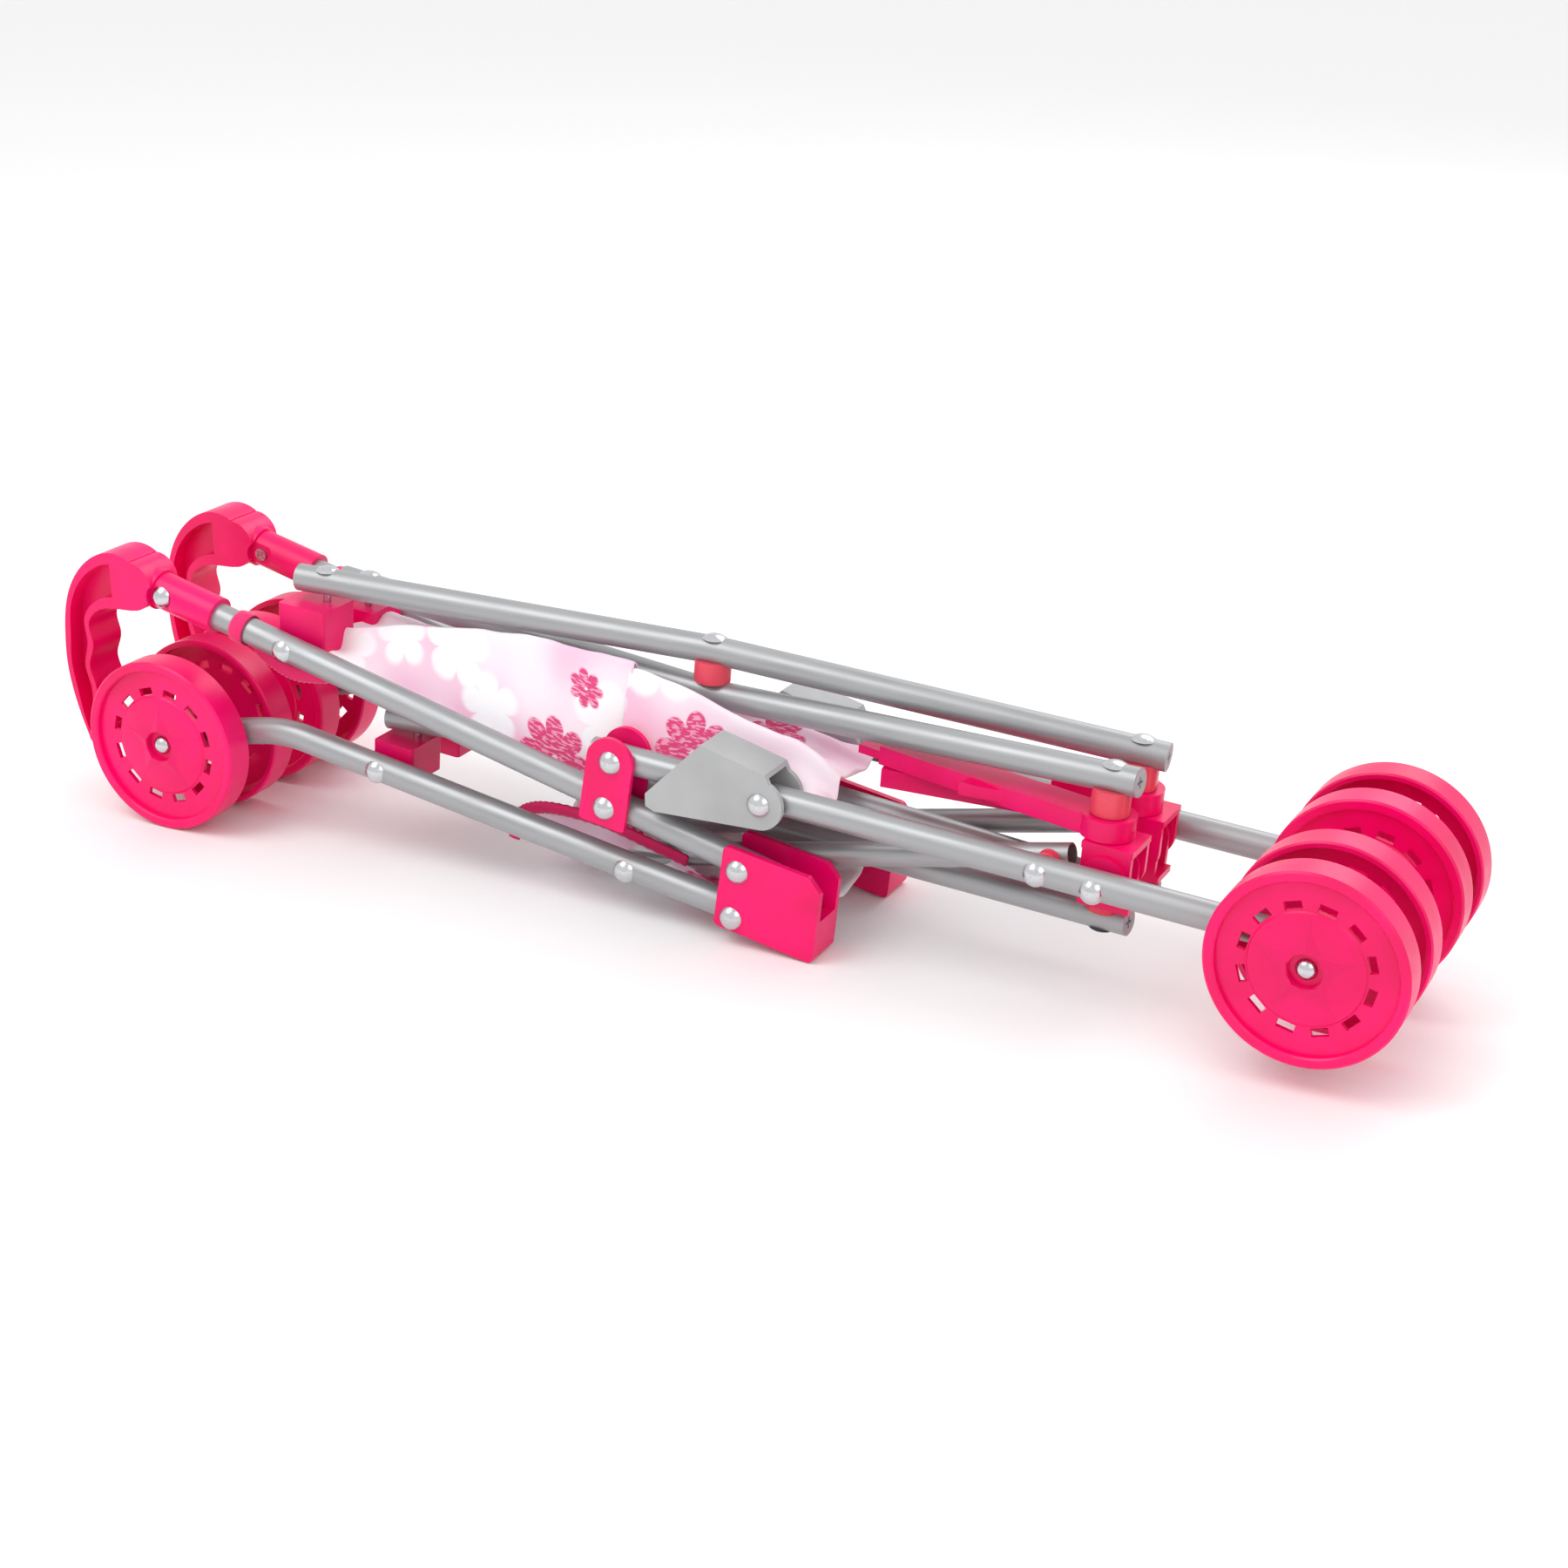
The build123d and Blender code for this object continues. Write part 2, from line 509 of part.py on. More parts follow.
# ---------------------------------------------------------------- all pieces
def main():
    os.makedirs("parts", exist_ok=True)
    handle_rivets = [side_rivet(HANDLE_RIVET, 21.5, TUBE_OUT - HEAD_SINK),
                     side_rivet(toward(MAIN_PIVOT, HANDLE_RIVET, GRIP_RIVET), TUBE_IN - 0.9, TUBE_OUT + 0.9),
                     side_rivet(LINK_LOW, TUBE_IN - PLATE, TUBE_OUT + PLATE),
                     side_rivet(LINK_TOP, TUBE_IN - PLATE, TUBE_OUT + PLATE)]
    leg_rivets = [side_rivet(LEG_RIVET, 21.5, TUBE_OUT - HEAD_SINK),
                  side_rivet(SEAT_FRONT, TUBE_IN + 0.4, TUBE_OUT - HEAD_SINK),
                  side_rivet(BRACKET_RIVET, BRACKET_IN, BRACKET_OUT),
                  side_rivet(MAIN_PIVOT, BRACKET_IN, BRACKET_OUT)]
    rear_rivets = [side_rivet(LATCH_RIVET, LATCH_IN - 0.2, LATCH_OUT + 0.2),
                   side_rivet(SEAT_REAR, SEAT_Y - SEAT_R - 0.2, TUBE_OUT - HEAD_SINK),
                   side_rivet(YOKE_RIVET, 23.8, TUBE_OUT - HEAD_SINK)]
    handle_cut, leg_cut, rear_cut = [joined(group) for group in (handle_rivets, leg_rivets[:3], rear_rivets)]
    write_pair("handle_tube", handle_tube() - handle_cut)
    write_pair("front_leg", front_leg() - leg_cut)
    write_pair("rear_leg", rear_leg() - rear_cut)
    write_pair("seat_tube", seat_tube())
    write_pair("grip", grip())
    write_pair("front_bracket", front_bracket())
    write_pair("link_plates", *link_plates())
    write_pair("latch", latch())
    write_pair("handle_rivets", *handle_rivets)
    write_pair("front_leg_rivets", *leg_rivets)
    write_pair("rear_leg_rivets", *rear_rivets)
    write_pair("front_wheels", *wheel_pair(FRONT_AXLE, FRONT_GAP))
    write_pair("rear_wheels", *wheel_pair(REAR_AXLE, REAR_GAP))
    write_pair("front_axle", axle(FRONT_AXLE, FRONT_GAP))
    write_pair("rear_axle", axle(REAR_AXLE, REAR_GAP))
    blocks = [pivot_block(HANDLE_RIVET, UPPER, TUBE_R, 11.0, 10.0, PIN_SHOW + drop) for drop in UPPER_DROP]
    write("handle_block_near", blocks[0])
    write("handle_block_far", far(blocks[1]))
    write_pair("leg_block", pivot_block(LEG_RIVET, LOWER, BRACE_R, 9.5, 8.0, 2.2))
    write_pair("upper_yoke", upper_yoke())
    write_pair("lower_yoke", lower_yoke())
    write("spreader_arm_near", spreader_arm(-1))
    write("spreader_arm_far", spreader_arm(1))
    write_upper_braces()
    write_lower_braces()
    write("back_sling", tent((-194, 77), (-48, 68), 30, 14))
    write("lower_sling", tent((-34, 67), (52, 62), 26.5, 10))
    # The seat cloth bunches at the near side, clear of the lower braces as they swing past.
    write("seat_sling", tent((-95, 12), (6, -1), 7.5, 1, middle_y=-18.5))


main()
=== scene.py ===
import json
import math

import bpy
from mathutils import Matrix, Vector, noise


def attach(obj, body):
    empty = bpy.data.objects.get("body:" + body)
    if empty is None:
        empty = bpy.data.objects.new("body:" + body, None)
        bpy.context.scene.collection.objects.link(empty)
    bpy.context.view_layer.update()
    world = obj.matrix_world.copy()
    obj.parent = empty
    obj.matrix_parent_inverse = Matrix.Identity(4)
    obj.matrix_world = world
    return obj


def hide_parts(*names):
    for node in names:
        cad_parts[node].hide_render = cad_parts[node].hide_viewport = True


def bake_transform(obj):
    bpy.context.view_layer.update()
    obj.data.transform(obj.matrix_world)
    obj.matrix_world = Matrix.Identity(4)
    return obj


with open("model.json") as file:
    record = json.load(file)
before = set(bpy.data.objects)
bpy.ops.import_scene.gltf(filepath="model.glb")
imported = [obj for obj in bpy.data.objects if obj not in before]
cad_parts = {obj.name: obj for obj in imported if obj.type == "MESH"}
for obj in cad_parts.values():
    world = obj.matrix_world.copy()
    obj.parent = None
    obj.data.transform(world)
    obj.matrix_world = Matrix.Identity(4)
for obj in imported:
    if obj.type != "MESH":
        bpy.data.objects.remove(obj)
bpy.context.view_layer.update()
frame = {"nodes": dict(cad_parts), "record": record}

MM = 0.001

# Side-frame points are (x, z) in the wheel frame, in millimetres, as the part's source has them.
FRONT_AXLE = (-285.1, 42.5)
REAR_AXLE = (285.1, 42.5)
BRACKET_CORNER = (60.3, -7.6)
HANDLE_RIVET = (-220.8, 94.9)
MAIN_PIVOT = (23.3, 29.5)
LINK_TOP = (-41.0, 69.8)
SEAT_REAR = (161.9, 52.7)
SIDE_Y = 39.5
TUBE_R = 6.5
SEAT_Y = 21.5
SEAT_R = 5.5
SHIFT_X = 10.6
FRONT_GAP = (27.0, 47.4)     # facing sides of the two front discs, measured from the middle
REAR_GAP = (32.7, 50.6)
SHEET_THICK = 0.0006         # metres
STRAP_THICK = 0.0012
STAR_THICK = 0.00045
STANCE = math.atan2(-BRACKET_CORNER[1], BRACKET_CORNER[0] - FRONT_AXLE[0])


def placed(x, y, z):
    """A wheel-frame point in the row frame, in metres."""
    dx, dz = x - FRONT_AXLE[0], z - FRONT_AXLE[1]
    row_x = FRONT_AXLE[0] + math.cos(STANCE) * dx - math.sin(STANCE) * dz + SHIFT_X
    row_z = FRONT_AXLE[1] + math.sin(STANCE) * dx + math.cos(STANCE) * dz
    return Vector((row_x, y, row_z)) * MM


# ---------------------------------------------------------------- camera, light, floor
CAMERA_AT = (0.5462, -1.0257, 0.5284)
AZIMUTH, ELEVATION, ROLL = (math.radians(v) for v in (26.62, 22.20, 0.69))
LENS = 62.76                 # mm on a 36 mm sensor


def make_camera():
    back = Vector((math.sin(AZIMUTH) * math.cos(ELEVATION), -math.cos(AZIMUTH) * math.cos(ELEVATION),
                   math.sin(ELEVATION)))
    level = Vector((math.cos(AZIMUTH), math.sin(AZIMUTH), 0))
    upright = back.cross(level)
    right = level * math.cos(ROLL) + upright * math.sin(ROLL)
    up = back.cross(right)
    data = bpy.data.cameras.new("camera")
    data.lens = LENS
    data.sensor_width = 36
    data.clip_end = 20
    camera = bpy.data.objects.new("camera", data)
    bpy.context.scene.collection.objects.link(camera)
    camera.matrix_world = Matrix.Translation(CAMERA_AT) @ Matrix((right, up, back)).transposed().to_4x4()
    bpy.context.scene.camera = camera


def area_light(name, at, size, energy):
    data = bpy.data.lights.new(name, "AREA")
    data.shape = "DISK"
    data.size = size
    data.energy = energy
    light = bpy.data.objects.new(name, data)
    bpy.context.scene.collection.objects.link(light)
    light.location = at
    light.rotation_euler = Vector(at).to_track_quat("Z", "Y").to_euler()


def make_stage():
    world = bpy.data.worlds.new("studio")
    world.use_nodes = True
    background = world.node_tree.nodes["Background"]
    background.inputs["Color"].default_value = (1, 1, 1, 1)
    background.inputs["Strength"].default_value = 0.95
    bpy.context.scene.world = world
    bpy.context.scene.view_settings.view_transform = "Standard"
    area_light("key", (-0.7, -0.9, 1.6), 1.2, 11)
    area_light("fill", (1.5, -0.8, 1.2), 1.4, 5)
    area_light("back", (0.2, 1.4, 1.3), 1.2, 8)
    floor = mesh_piece("floor", [(-9, -9, 0), (9, -9, 0), (9, 9, 0), (-9, 9, 0)], [(0, 1, 2, 3)])
    floor.location.z = -0.0002
    material = bpy.data.materials.new("floor_white")
    material.use_nodes = True
    shader = material.node_tree.nodes["Principled BSDF"]
    shader.inputs["Base Color"].default_value = (0.95, 0.95, 0.95, 1)
    shader.inputs["Roughness"].default_value = 0.5
    shader.inputs["Specular IOR Level"].default_value = 0.25
    floor.data.materials.append(material)


# ---------------------------------------------------------------- mesh helpers
def mesh_piece(name, points, faces, smooth=False):
    data = bpy.data.meshes.new(name)
    data.from_pydata([tuple(p) for p in points], [], faces)
    data.validate()
    if smooth:
        data.polygons.foreach_set("use_smooth", [True] * len(data.polygons))
    piece = bpy.data.objects.new(name, data)
    bpy.context.scene.collection.objects.link(piece)
    return piece


def apply_modifiers(piece):
    bpy.context.view_layer.update()
    graph = bpy.context.evaluated_depsgraph_get()
    piece.data = bpy.data.meshes.new_from_object(piece.evaluated_get(graph))
    piece.modifiers.clear()


def band(name, centre_line, across, half_width, thickness, material, body):
    """Flat strap along a closed or open line; across gives its width direction at each point."""
    points, faces = [], []
    for k, point in enumerate(centre_line):
        points += [point - across[k] * half_width, point + across[k] * half_width]
        if k:
            faces.append((2 * k - 2, 2 * k - 1, 2 * k + 1, 2 * k))
    piece = mesh_piece(name, points, faces, smooth=True)
    solid = piece.modifiers.new("thick", "SOLIDIFY")
    solid.thickness = thickness
    solid.offset = 0
    piece.modifiers.new("smooth", "SUBSURF").levels = 1
    apply_modifiers(piece)
    piece.data.materials.clear()
    piece.data.materials.append(material)
    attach(piece, body)


# ---------------------------------------------------------------- materials
class Nodes:
    """Short way to build a node tree round a Principled shader."""

    def __init__(self, name):
        self.material = bpy.data.materials.new(name)
        self.material.use_nodes = True
        self.tree = self.material.node_tree
        self.shader = self.tree.nodes["Principled BSDF"]
        self.place = self.tree.nodes.new("ShaderNodeTexCoord")

    def set(self, **values):
        for name, value in values.items():
            self.shader.inputs[name.replace("_", " ")].default_value = value

    def link(self, source, target):
        self.tree.links.new(source, target)

    def math(self, operation, a, b=0.0, c=None):
        node = self.tree.nodes.new("ShaderNodeMath")
        node.operation = operation
        for k, value in enumerate((a, b, c)):
            if isinstance(value, bpy.types.NodeSocket):
                self.link(value, node.inputs[k])
            elif value is not None:
                node.inputs[k].default_value = value
        return node.outputs[0]

    def ramp(self, value, low, high, out_low=0.0, out_high=1.0):
        node = self.tree.nodes.new("ShaderNodeMapRange")
        node.interpolation_type = "SMOOTHSTEP"
        self.link(value, node.inputs["Value"])
        numbers = {"From Min": low, "From Max": high, "To Min": out_low, "To Max": out_high}
        for name, number in numbers.items():
            node.inputs[name].default_value = number
        return node.outputs[0]

    def mix(self, share, a, b):
        node = self.tree.nodes.new("ShaderNodeMix")
        node.data_type = "RGBA"
        self.link(share, node.inputs["Factor"])
        colour = [s for s in node.inputs if s.type == "RGBA"]
        for socket, value in zip(colour, (a, b)):
            if isinstance(value, bpy.types.NodeSocket):
                self.link(value, socket)
            else:
                socket.default_value = (*value, 1)
        return [s for s in node.outputs if s.type == "RGBA"][0]

    def noise(self, scale, stretch=(1, 1, 1), detail=3.0, source="Object"):
        mapping = self.tree.nodes.new("ShaderNodeMapping")
        mapping.inputs["Scale"].default_value = stretch
        self.link(self.place.outputs[source], mapping.inputs["Vector"])
        texture = self.tree.nodes.new("ShaderNodeTexNoise")
        texture.inputs["Scale"].default_value = scale
        texture.inputs["Detail"].default_value = detail
        self.link(mapping.outputs[0], texture.inputs["Vector"])
        return texture.outputs["Fac"]

    def bump(self, height, strength, distance):
        node = self.tree.nodes.new("ShaderNodeBump")
        node.inputs["Strength"].default_value = strength
        node.inputs["Distance"].default_value = distance
        self.link(height, node.inputs["Height"])
        self.link(node.outputs[0], self.shader.inputs["Normal"])


def silver_paint():
    n = Nodes("silver_paint")
    n.set(Metallic=0.55)
    streaks = n.noise(260, (0.03, 1, 1))
    specks = n.noise(2200)
    n.link(n.mix(streaks, (0.33, 0.335, 0.345), (0.42, 0.425, 0.435)), n.shader.inputs["Base Color"])
    n.link(n.ramp(streaks, 0.3, 0.7, 0.34, 0.46), n.shader.inputs["Roughness"])
    n.bump(n.math("ADD", n.math("MULTIPLY", streaks, 0.7), n.math("MULTIPLY", specks, 0.3)), 0.25, 0.00008)
    return n.material


def moulded(name, deep, bright, rough, glow=0.0, transmission=0.0):
    """Moulded plastic: slow colour drift, faint flow marks and a fine surface."""
    n = Nodes(name)
    n.set(Subsurface_Weight=glow, Subsurface_Scale=0.004)
    n.set(Transmission_Weight=transmission, Specular_IOR_Level=0.32)
    drift = n.noise(28)
    flow = n.noise(90, (0.35, 1, 1), 2.0)
    grain = n.noise(1600, (1, 1, 1), 2.0)
    n.link(n.mix(n.ramp(drift, 0.3, 0.7), deep, bright), n.shader.inputs["Base Color"])
    n.link(n.ramp(flow, 0.3, 0.7, rough, rough + 0.08), n.shader.inputs["Roughness"])
    n.bump(grain, 0.1, 0.00002)
    return n.material


def bright_steel():
    n = Nodes("bright_steel")
    n.set(Metallic=1.0)
    scuffs = n.noise(900, (1, 1, 1), 5.0)
    n.link(n.mix(scuffs, (0.50, 0.51, 0.53), (0.68, 0.69, 0.71)), n.shader.inputs["Base Color"])
    n.link(n.ramp(scuffs, 0.3, 0.75, 0.14, 0.3), n.shader.inputs["Roughness"])
    n.bump(scuffs, 0.2, 0.00005)
    return n.material


def weave_height(n, threads):
    """Plain weave from the flat cloth's own coordinates, threads per metre."""
    split = n.tree.nodes.new("ShaderNodeSeparateXYZ")
    n.link(n.place.outputs["UV"], split.inputs[0])
    waves = [n.math("SINE", n.math("MULTIPLY", split.outputs[k], threads * math.tau)) for k in (0, 1)]
    return n.math("MULTIPLY", waves[0], waves[1]), split.outputs


def flower(n, uv, centre, radius, petals, turn, depth=0.45, soft=0.0008, open_heart=True):
    """Mask of one flower: 1 inside its petals, fading over the soft distance in metres."""
    x = n.math("SUBTRACT", uv[0], centre[0])
    y = n.math("SUBTRACT", uv[1], centre[1])
    reach = n.math("SQRT", n.math("ADD", n.math("MULTIPLY", x, x), n.math("MULTIPLY", y, y)))
    angle = n.math("MULTIPLY_ADD", n.math("ARCTAN2", y, x), petals / 2, turn)
    lobe = n.math("SQRT", n.math("ABSOLUTE", n.math("COSINE", angle)))
    edge = n.math("MULTIPLY", n.math("MULTIPLY_ADD", lobe, depth, 1 - depth), radius)
    inside = n.ramp(n.math("SUBTRACT", edge, reach), -soft, soft)
    if not open_heart:
        return inside
    heart = n.ramp(reach, radius * 0.06, radius * 0.1)
    return n.math("MULTIPLY", inside, heart)


# Flowers on the print as (u, v) on the flat cloth in metres, radius, petals and turn.
DARK_FLOWERS = [((0.008, 0.132), 0.019, 8, 0.4), ((0.046, 0.146), 0.009, 7, 1.1),
                ((0.010, 0.212), 0.019, 8, 0.2), ((0.075, 0.060), 0.018, 8, 0.9),
                ((0.100, 0.150), 0.019, 8, 0.0), ((0.060, 0.235), 0.016, 7, 0.6)]
PALE_FLOWERS = [((0.036, 0.074), 0.019, 5, 0.3), ((0.028, 0.042), 0.015, 5, 0.9),
                ((0.034, 0.160), 0.020, 5, 0.1), ((0.012, 0.012), 0.017, 5, 0.5),
                ((0.050, 0.190), 0.022, 5, 0.2), ((0.085, 0.110), 0.020, 5, 0.0),
                ((0.016, 0.096), 0.016, 5, 0.7)]


def printed_cloth():
    n = Nodes("printed_cloth")
    n.set(Sheen_Weight=0.25, Sheen_Roughness=0.5, Subsurface_Weight=0.12, Subsurface_Scale=0.003)
    height, uv = weave_height(n, 1500)
    wash = n.ramp(n.noise(16, detail=1.0, source="UV"), 0.38, 0.62)
    colour = n.mix(wash, (0.96, 0.80, 0.87), (0.90, 0.52, 0.68))
    for centre, radius, petals, turn in PALE_FLOWERS:
        colour = n.mix(flower(n, uv, centre, radius, petals, turn, 0.5, 0.0022, False),
                       colour, (0.95, 0.91, 0.94))
    hatch = n.ramp(n.noise(900, (1, 0.25, 1), 2.0, "UV"), 0.42, 0.5)
    ink = n.mix(hatch, (0.90, 0.36, 0.52), (0.74, 0.05, 0.20))
    for centre, radius, petals, turn in DARK_FLOWERS:
        colour = n.mix(flower(n, uv, centre, radius, petals, turn), colour, ink)
    n.link(colour, n.shader.inputs["Base Color"])
    n.link(n.ramp(height, -1, 1, 0.72, 0.86), n.shader.inputs["Roughness"])
    n.bump(height, 0.3, 0.00012)
    return n.material


def webbing(name, deep, bright):
    n = Nodes(name)
    n.set(Sheen_Weight=0.3, Sheen_Roughness=0.4)
    ribs = n.noise(1500, (1, 0.2, 0.2), 2.0)
    n.link(n.mix(ribs, deep, bright), n.shader.inputs["Base Color"])
    n.link(n.ramp(ribs, 0.3, 0.7, 0.6, 0.8), n.shader.inputs["Roughness"])
    n.bump(ribs, 0.4, 0.0002)
    return n.material


PINK_DEEP, PINK_BRIGHT = (0.76, 0.0, 0.105), (0.90, 0.0, 0.15)
CORAL_DEEP, CORAL_BRIGHT = (0.80, 0.05, 0.10), (0.92, 0.10, 0.15)


def dress_cad_nodes(finishes):
    slots = {entry["node"]: entry["material_slot"] for entry in frame["record"]["subparts"]}
    for name, node in frame["nodes"].items():
        node.data.materials.clear()
        node.data.materials.append(finishes[slots[name]])


# ---------------------------------------------------------------- cloth
def smooth_curve(controls, count):
    """Catmull-Rom curve through control tuples, at evenly spaced parameters."""
    ends = [controls[0], *controls, controls[-1]]
    result = []
    for k in range(count):
        t = k / (count - 1) * (len(controls) - 1)
        i = min(int(t), len(controls) - 2)
        f = t - i
        a, b, c, d = ends[i:i + 4]
        result.append(tuple(0.5 * (2 * q + (r - p) * f + (2 * p - 5 * q + 4 * r - s) * f * f
                                   + (3 * q - p - 3 * r + s) * f ** 3) for p, q, r, s in zip(a, b, c, d)))
    return result


ALONG, ACROSS = 72, 60


def cloth_sheet(name, stations, material, replaced, seed, uv_start=0.0):
    """Sheet lofted through stations. A station is an x and the (y, z) points across the cloth there."""
    columns = [smooth_curve([(x, y, z) for y, z in profile], ACROSS) for x, profile in stations]
    rails = [smooth_curve([column[k] for column in columns], ALONG) for k in range(ACROSS)]
    grid = [[Vector(rails[k][row]) for k in range(ACROSS)] for row in range(ALONG)]
    for row in range(1, ALONG - 1):
        for k in range(1, ACROSS - 1):
            fade = min(1.0, 6 * min(k, ACROSS - 1 - k) / ACROSS)
            point = grid[row][k]
            ripple = noise.noise(Vector((point.x * 0.028, point.y * 0.06, seed)))
            fine = noise.noise(Vector((point.x * 0.09, point.y * 0.12, seed + 7.0)))
            point.z += (2.2 * ripple + 0.7 * fine) * fade
    points = [placed(*point) for line in grid for point in line]
    faces = [(r * ACROSS + k, r * ACROSS + k + 1, (r + 1) * ACROSS + k + 1, (r + 1) * ACROSS + k)
             for r in range(ALONG - 1)
             for k in range(ACROSS - 1)]
    piece = mesh_piece(name, points, faces, smooth=True)
    down = [0.0]
    for row in range(1, ALONG):
        steps = [(points[row * ACROSS + k] - points[(row - 1) * ACROSS + k]).length for k in range(ACROSS)]
        down.append(down[-1] + sum(steps) / ACROSS)
    layer = piece.data.uv_layers.new(name="flat")
    flat = []
    for row in range(ALONG):
        run = 0.0
        for k in range(ACROSS):
            run += (points[row * ACROSS + k] - points[row * ACROSS + k - 1]).length if k else 0.0
            flat.append((run, uv_start + down[row]))
    for loop in piece.data.loops:
        layer.data[loop.index].uv = flat[loop.vertex_index]
    solid = piece.modifiers.new("thick", "SOLIDIFY")
    solid.thickness = SHEET_THICK
    solid.offset = 0
    apply_modifiers(piece)
    piece.data.materials.clear()
    piece.data.materials.append(material)
    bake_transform(piece)
    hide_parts(*replaced)


def tube_z(x, a, b):
    return a[1] + (b[1] - a[1]) * (x - a[0]) / (b[0] - a[0])


def ridge_profile(foot_z, peak_y, peak_z, dip_z, second_z, half):
    """Across the folded cloth: near tube, tall ridge, dip under the braces, lower ridge, far tube."""
    return [(-half, foot_z), (-half + 5, foot_z + 1), (peak_y - 4, peak_z - 9), (peak_y, peak_z),
            (peak_y + 6, (peak_z + dip_z) / 2), (3, dip_z), (11, second_z - 3), (17, second_z),
            (25, foot_z + 5), (half, foot_z)]


def make_back(material):
    stations = []
    for x, peak_z, dip_z, second_z in ((-212, 99, 96, 98), (-190, 103, 92, 96), (-160, 107, 88, 94),
                                       (-105, 111, 84, 92), (-77, 109, 82, 90), (-45, 106, 78, 88)):
        foot = tube_z(x, HANDLE_RIVET, MAIN_PIVOT)
        stations.append((x, ridge_profile(foot, -15, peak_z, dip_z, second_z, SIDE_Y - TUBE_R)))
    cloth_sheet("back_cloth", stations, material,
                ["back_sling"], 1.0)


def make_lower_back(material):
    stations = []
    for x, peak_z, dip_z, second_z in ((-47, 105, 77, 87), (-20, 98, 75, 82), (2, 91, 73, 78),
                                       (37, 82, 68, 72), (58, 68, 64, 66)):
        foot = tube_z(x, LINK_TOP, REAR_AXLE)
        stations.append((x, ridge_profile(foot, -16, peak_z, dip_z, second_z, SIDE_Y - TUBE_R)))
    cloth_sheet("lower_back_cloth", stations, material,
                ["lower_sling"], 4.0, 0.175)


def make_seat(material):
    stations = []
    for x, edge_z, low_z in ((-106, 16, 10), (-96, 29, 5), (-80, 31, 3), (-59, 29, 4), (-36, 23, 5),
                             (-14, 17, 5), (6, 10, 2), (50, 14, 3)):
        profile = [(-27, edge_z), (-24, (edge_z + low_z) / 2), (-16, low_z), (-6, low_z + 2), (4, low_z - 1),
                   (14, low_z + 1), (22, edge_z - 8), (26, edge_z - 4)]
        stations.append((x, profile))
    cloth_sheet("seat_cloth", stations, material, ["seat_sling"],
                9.0, 0.02)


# ---------------------------------------------------------------- wheel stars
STAR_TIP, STAR_NOTCH = 22.5, 10.5        # radii of the star on each disc's hub, in millimetres
STAR_POINTS = 5
STAR_TURN = 0.3                          # radians
CREASE_HIGH, CREASE_LOW, FOOT_DROP = 0.9, 0.25, 0.6
HUB_R, HUB_HOLE = 24.2, 8.0
HUB_FACE, HUB_SWELL = 13.3, 1.7          # hub face outside the disc's inner face, and its swell to the middle


def hub_height(radius):
    """Height of the swollen hub over the disc's inner face."""
    return HUB_FACE + HUB_SWELL * (1 - (radius / HUB_R) ** 2)


def wheel_star(name, axle, face_at, outward, body, material):
    """Five-pointed star of low creased facets that stands just proud of the hub."""
    corners = 2 * STAR_POINTS
    base, rim, foot = [], [], []
    for k in range(corners):
        angle = math.tau * k / corners + STAR_TURN
        is_tip = k % 2 == 0
        reach = STAR_TIP if is_tip else STAR_NOTCH
        crease = CREASE_HIGH if is_tip else CREASE_LOW
        for ring, radius, lift in ((base, reach, 0.0), (rim, HUB_HOLE, crease), (foot, HUB_HOLE, -FOOT_DROP)):
            height = (hub_height(radius) + lift) * outward
            ring.append(placed(axle[0] + radius * math.cos(angle), face_at + height,
                               axle[1] + radius * math.sin(angle)))
    faces = []
    for k in range(corners):
        after = (k + 1) % corners
        faces.append((k, after, corners + after, corners + k))
        faces.append((corners + k, corners + after, 2 * corners + after, 2 * corners + k))
    piece = mesh_piece(name, base + rim + foot, faces)
    solid = piece.modifiers.new("body", "SOLIDIFY")
    solid.thickness = STAR_THICK
    solid.offset = 0
    apply_modifiers(piece)
    piece.data.materials.clear()
    piece.data.materials.append(material)
    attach(piece, body)


def make_wheel_stars(material):
    for side, sign in (("near", -1), ("far", 1)):
        for wheel, axle, gap in (("front", FRONT_AXLE, FRONT_GAP), ("rear", REAR_AXLE, REAR_GAP)):
            for place, face_at, outward in (("inner", gap[0], -1), ("outer", gap[1], 1)):
                wheel_star(f"{wheel}_star_{place}_{side}", axle, sign * face_at, sign * outward,
                           f"{wheel}_wheels_{side}", material)


# ---------------------------------------------------------------- webbing, binding and small fittings
LOOP_SEGMENTS = 32
BINDING_SIDES, BINDING_STEPS, STITCH_PINCH = 8, 60, 0.12
BINDING_TALL, BINDING_FLAT = 1.7, 0.6


def tube_loop(name, at_x, width, side, material):
    """Webbing wrapped once round a handle tube."""
    top, bottom = placed(HANDLE_RIVET[0], 0, HANDLE_RIVET[1]), placed(MAIN_PIVOT[0], 0, MAIN_PIVOT[1])
    along = (bottom - top).normalized()
    across_y = Vector((0, 1, 0))
    up = along.cross(across_y) * -1
    centre = placed(at_x, side * SIDE_Y, tube_z(at_x, HANDLE_RIVET, MAIN_PIVOT))
    radius = (TUBE_R + 1.0) * MM
    line = []
    for k in range(LOOP_SEGMENTS + 1):
        angle = math.tau * k / LOOP_SEGMENTS
        line.append(centre + (across_y * math.cos(angle) + up * math.sin(angle)) * radius)
    band(name, line, [along] * len(line), width / 2 * MM, STRAP_THICK, material,
         "handle_near" if side < 0 else "handle_far")


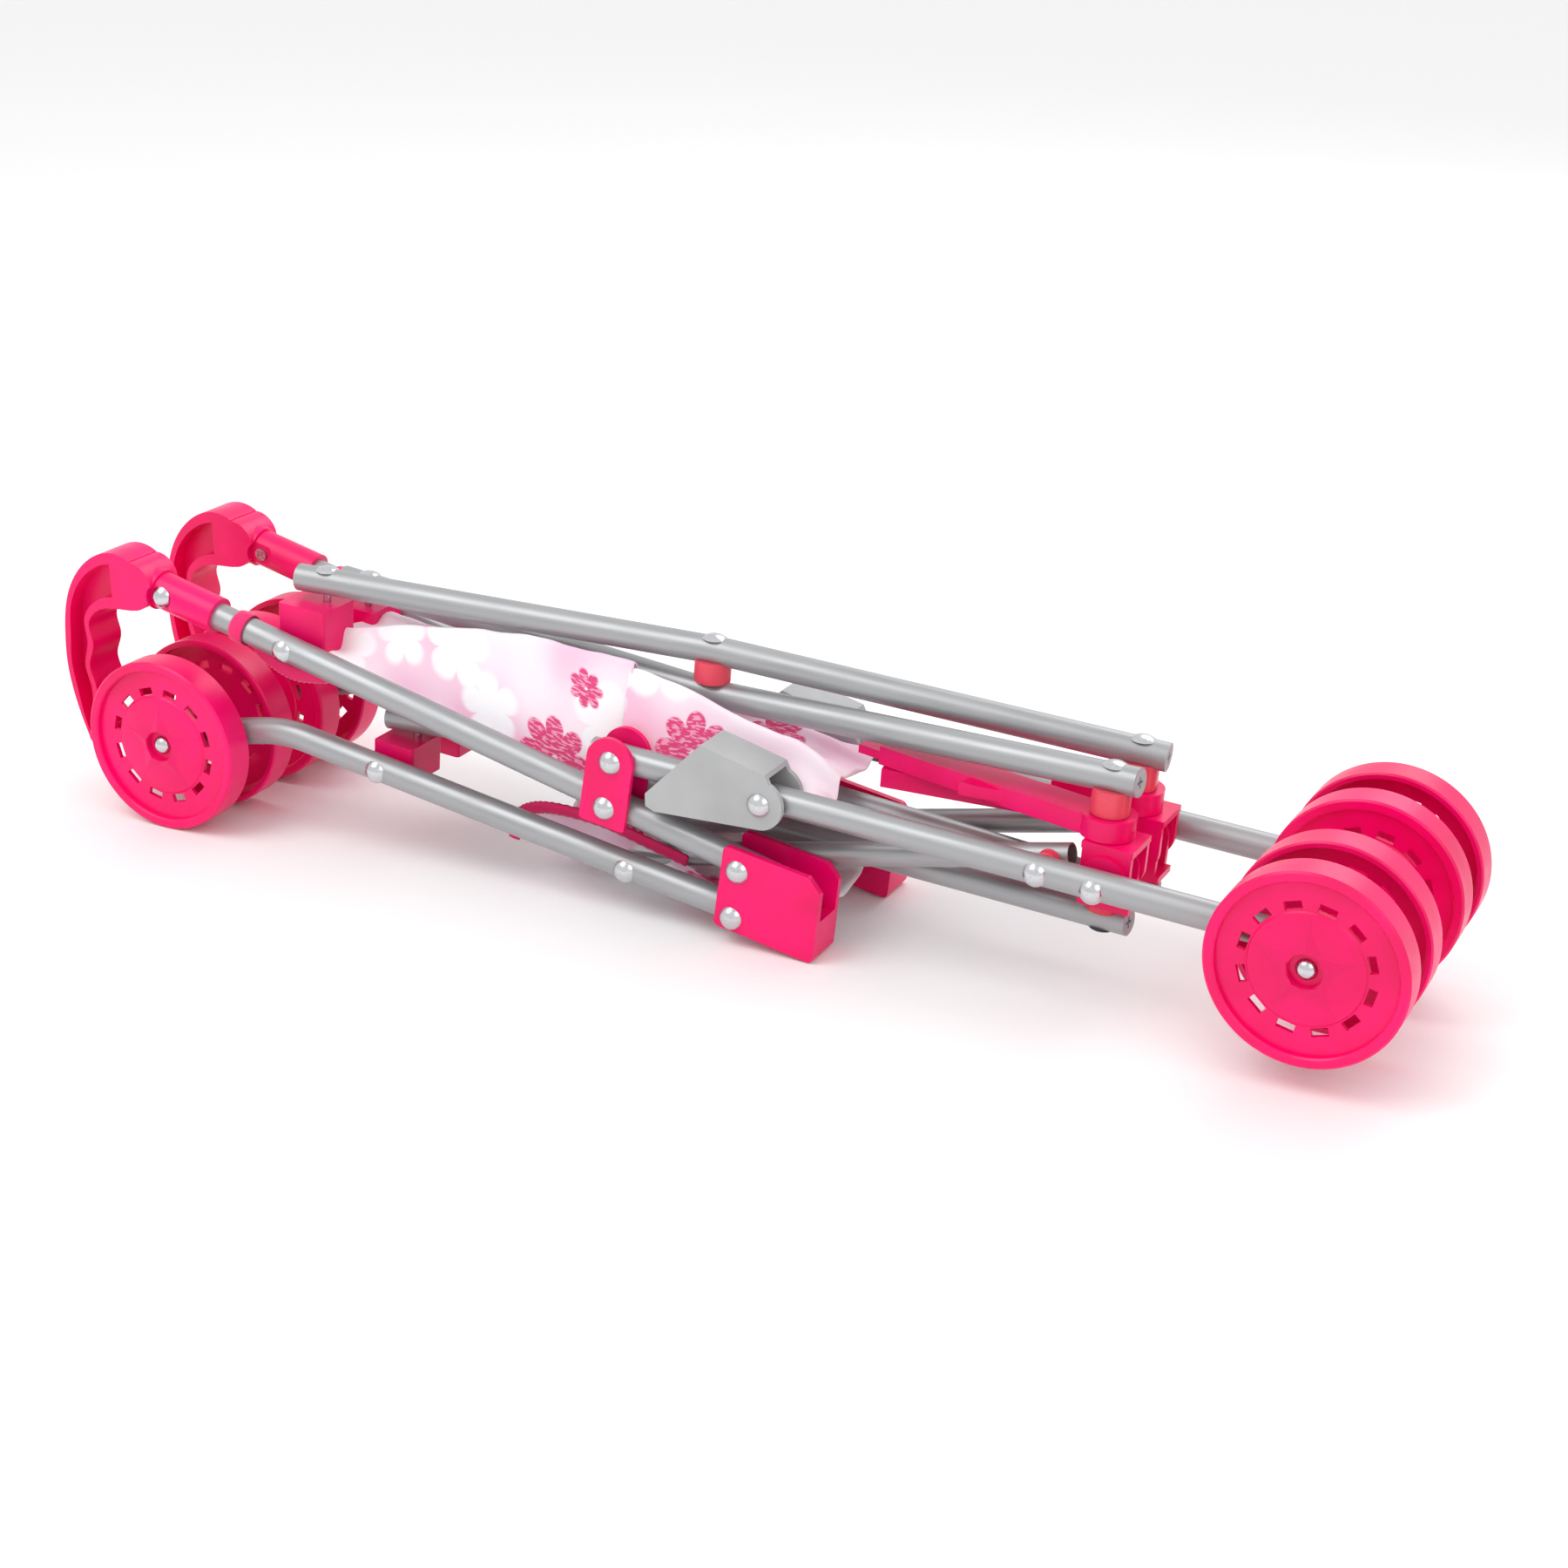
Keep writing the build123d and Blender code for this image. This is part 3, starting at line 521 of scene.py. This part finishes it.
def edge_binding(name, path, body, material, radius):
    """Rolled binding sewn along an edge of the cloth, a flattened cord with stitch dents."""
    line = [placed(*point) for point in smooth_curve(path, BINDING_STEPS)]
    points, faces, sides = [], [], BINDING_SIDES
    for k, point in enumerate(line):
        run = (line[min(k + 1, len(line) - 1)] - line[max(k - 1, 0)]).normalized()
        flat = run.cross(Vector((0, 1, 0))).normalized()
        wide = run.cross(flat).normalized()
        pinch = 1.0 - STITCH_PINCH * (k % 2)
        for side in range(sides):
            angle = math.tau * side / sides
            spoke = flat * math.cos(angle) * BINDING_TALL + wide * math.sin(angle) * BINDING_FLAT
            points.append(point + spoke * radius * pinch * MM)
        if k:
            start = (k - 1) * sides
            faces += [(start + m, start + (m + 1) % sides, start + sides + (m + 1) % sides, start + sides + m)
                      for m in range(sides)]
    faces += [tuple(range(sides)), tuple(range(len(points) - sides, len(points)))]
    piece = mesh_piece(name, points, faces, smooth=True)
    piece.data.materials.append(material)
    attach(piece, body)


def seat_spacer(name, side, material):
    """Waisted spacer between the seat tube and the rear leg."""
    rings = ((0.0, 4.6), (0.5, 5.2), (1.6, 5.2), (2.9, 4.4), (4.2, 5.2), (5.3, 5.2), (5.8, 4.6))
    start, points, faces, sides = SEAT_Y + SEAT_R + 0.1, [], [], 32
    for reach, radius in rings:
        for k in range(sides):
            angle = math.tau * k / sides
            points.append(placed(SEAT_REAR[0] + radius * math.cos(angle), side * (start + reach),
                                 SEAT_REAR[1] + radius * math.sin(angle)))
    for r in range(len(rings) - 1):
        for k in range(sides):
            after = (k + 1) % sides
            faces.append((r * sides + k, r * sides + after, (r + 1) * sides + after, (r + 1) * sides + k))
    faces += [tuple(range(sides)), tuple(range(len(points) - sides, len(points)))]
    piece = mesh_piece(name, points, faces, smooth=True)
    piece.data.materials.append(material)
    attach(piece, "rear_leg_near" if side < 0 else "rear_leg_far")


# Points along the bound edge of the seat cloth, x, y and z in the wheel frame.
SEAT_EDGE = [(-107, -27.0, 14), (-104, -27.4, 25), (-96, -27.6, 31), (-82, -27.6, 33), (-59, -27.4, 31),
             (-36, -27.2, 25), (-14, -27.0, 19)]
# Each gusset point's x, the x whose tube height it hangs from, and how far below it is.
GUSSET_PATH = ((-246, -246, 6.5), (-240, -246, 14.5), (-222, -212, 12.5), (-196, -196, 5))
LOOP_X, LOOP_WIDTH = -246, 8.5
GUSSET_R, SEAT_BINDING_R = 2.6, 1.9


def make_trim(strap):
    for name, side in (("near", -1), ("far", 1)):
        tube_loop(f"handle_loop_{name}", LOOP_X, LOOP_WIDTH, side, strap)
        inner = side * (SIDE_Y - TUBE_R - 0.5)
        drop = [(x, inner, tube_z(level_x, HANDLE_RIVET, MAIN_PIVOT) - below)
                for x, level_x, below in GUSSET_PATH]
        edge_binding(f"corner_gusset_{name}", drop, f"handle_{name}", strap, GUSSET_R)
    edge_binding("seat_binding", SEAT_EDGE, "seat_near", strap, SEAT_BINDING_R)


# ---------------------------------------------------------------- build
make_camera()
make_stage()
pink = moulded("pink_plastic", PINK_DEEP, PINK_BRIGHT, 0.3, glow=0.1)
coral = moulded("coral_plastic", CORAL_DEEP, CORAL_BRIGHT, 0.2, glow=0.2, transmission=0.15)
steel = bright_steel()
dress_cad_nodes({"tube_silver": silver_paint(), "pink_plastic": pink, "spacer_coral": coral,
                 "latch_grey": moulded("latch_grey", (0.37, 0.375, 0.38), (0.43, 0.435, 0.44), 0.4),
                 "plug_grey": moulded("plug_grey", (0.33, 0.34, 0.35), (0.42, 0.43, 0.44), 0.5),
                 "rivet_steel": steel, "axle_steel": steel, "sling_fabric": pink})
cloth = printed_cloth()
make_back(cloth)
make_lower_back(cloth)
make_seat(cloth)
make_wheel_stars(pink)
make_trim(webbing("pink_webbing", (0.72, 0.002, 0.10), (0.88, 0.015, 0.17)))
for spacer_name, spacer_side in (("seat_spacer_near", -1), ("seat_spacer_far", 1)):
    seat_spacer(spacer_name, spacer_side, coral)
